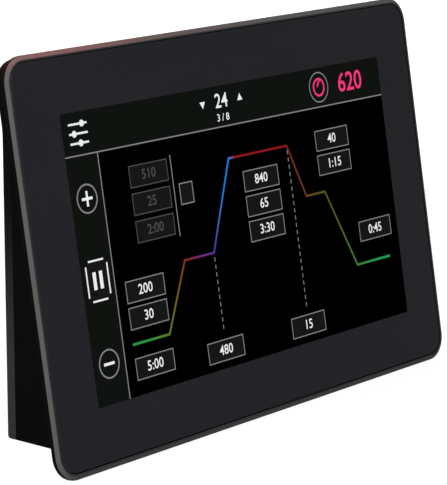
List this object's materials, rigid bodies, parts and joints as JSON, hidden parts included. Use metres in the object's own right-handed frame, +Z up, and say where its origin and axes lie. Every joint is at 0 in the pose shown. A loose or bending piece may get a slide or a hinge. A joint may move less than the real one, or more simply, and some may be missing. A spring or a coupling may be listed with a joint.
{
  "type": "touch-screen operating unit",
  "caption": "Touch-screen control panel on a wedge-shaped housing whose upright back bolts to a furnace, with a standby button and a flap over its USB port.",
  "frame": {"origin": "centre of the rectangular bolt pattern, on the housing's upright back face", "axes": "+Y out of the upright back, away from the viewer; +X to the right as the screen is read; +Z up"},
  "size_m": [0.2784, 0.0372, 0.1768],
  "materials": {
    "tinted_glass": "smooth dark cover glass",
    "gloss_black_frame": "satin gloss moulded black",
    "matte_black_housing": "fine moulded texture",
    "satin_black_cover": "satin moulded",
    "foam_tape": "closed-cell foam",
    "display_glass": "dark polariser",
    "sheet_steel": "zinc-plated",
    "screw_steel": "blackened steel",
    "brass": "turned",
    "circuit_board": "solder resist",
    "chip_plastic": "moulded epoxy",
    "aluminium": "plain",
    "connector_plastic": "moulded",
    "cable_film": "polyimide film",
    "nickel": "nickel-plated",
    "black_insert": "moulded",
    "button_plastic": "satin moulded"
  },
  "bodies": {
    "unit": {"cover_glass": "tinted_glass", "glass_tape": "foam_tape", "front_frame": "gloss_black_frame", "display_cell": "display_glass", "backlight_tray": "sheet_steel", "display_clips": "sheet_steel", "clip_screws": "sheet_steel", "frame_screws": "sheet_steel", "rear_housing": "matte_black_housing", "back_cover": "satin_black_cover", "cover_screws": "screw_steel", "mount_plate": "sheet_steel", "mount_inserts": "brass", "board_standoffs": "brass", "main_board": "circuit_board", "board_screws": "sheet_steel", "processor": "chip_plastic", "heat_spreader": "aluminium", "memory_chips": "chip_plastic", "clock_battery": "sheet_steel", "capacitors": "aluminium", "display_connector": "connector_plastic", "display_cable": "cable_film", "touch_board": "circuit_board", "touch_cable": "cable_film", "signal_socket": "nickel", "socket_contacts": "black_insert", "socket_nut": "nickel", "speaker_gasket": "foam_tape", "speaker": "chip_plastic", "usb_port": "nickel", "usb_tongue": "black_insert", "usb_board": "circuit_board", "flap_pin": "sheet_steel", "button_switch": "chip_plastic", "button_board": "circuit_board", "button_screws": "sheet_steel", "port_screws": "sheet_steel"},
    "button": {"standby_button": "button_plastic"},
    "flap": {"usb_flap": "matte_black_housing"}
  },
  "joints": [
    {"name": "standby_press", "type": "slide", "parent": "unit", "child": "button", "axis": [-1, 0, 0], "range_m": [0, 0.0008], "stiffness_N_per_m": 800, "springref_m": -0.0006},
    {"name": "usb_flap_hinge", "type": "hinge", "parent": "unit", "child": "flap", "pos_m": [0.13735, -0.0092, -0.043], "axis": [0, 0, 1], "range_deg": [0, 90]}
  ]
}
